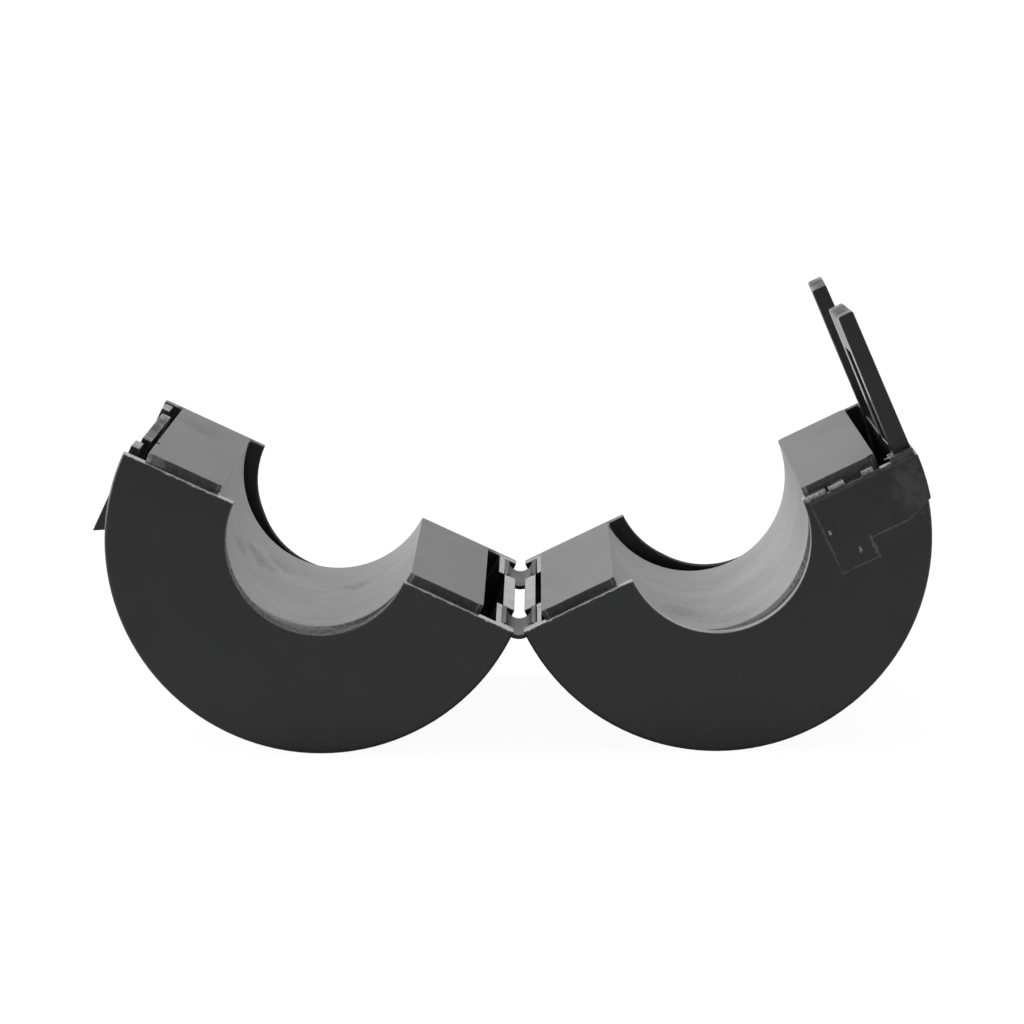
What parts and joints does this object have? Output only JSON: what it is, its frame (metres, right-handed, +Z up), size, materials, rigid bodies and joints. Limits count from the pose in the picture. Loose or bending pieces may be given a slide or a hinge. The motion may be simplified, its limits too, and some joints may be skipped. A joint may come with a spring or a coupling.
{
  "type": "clip-on ferrite bead",
  "caption": "Open clip-on ferrite bead for a round cable: hinged black plastic case halves, each with a grey half-ring ferrite core, closed by windowed latch arms over barbs.",
  "frame": {"origin": "middle of the bottom of the whole part's box, on the surface that the two round backs stand on", "axes": "+X from the half with the barbs to the half with the latch arms, +Y along the cable, +Z up"},
  "size_m": [0.059, 0.0342, 0.0308],
  "materials": {
    "case_plastic": "fine moulded texture, black",
    "ferrite": "sintered grey ferrite with ground faces"
  },
  "bodies": {
    "left_half": {"left_shell": "case_plastic", "left_core": "ferrite", "hinge_strap_front": "case_plastic", "hinge_strap_back": "case_plastic"},
    "right_half": {"right_shell": "case_plastic", "right_core": "ferrite", "latch_arm_front": "case_plastic", "latch_arm_back": "case_plastic"}
  },
  "joints": [
    {"name": "case_fold", "type": "hinge", "parent": "left_half", "child": "right_half", "pos_m": [0.00059, 0, 0.00896], "axis": [0, -1, 0], "range_deg": [-50, 129.4], "deforming": ["hinge_strap_front", "hinge_strap_back", "latch_arm_front", "latch_arm_back"]}
  ]
}
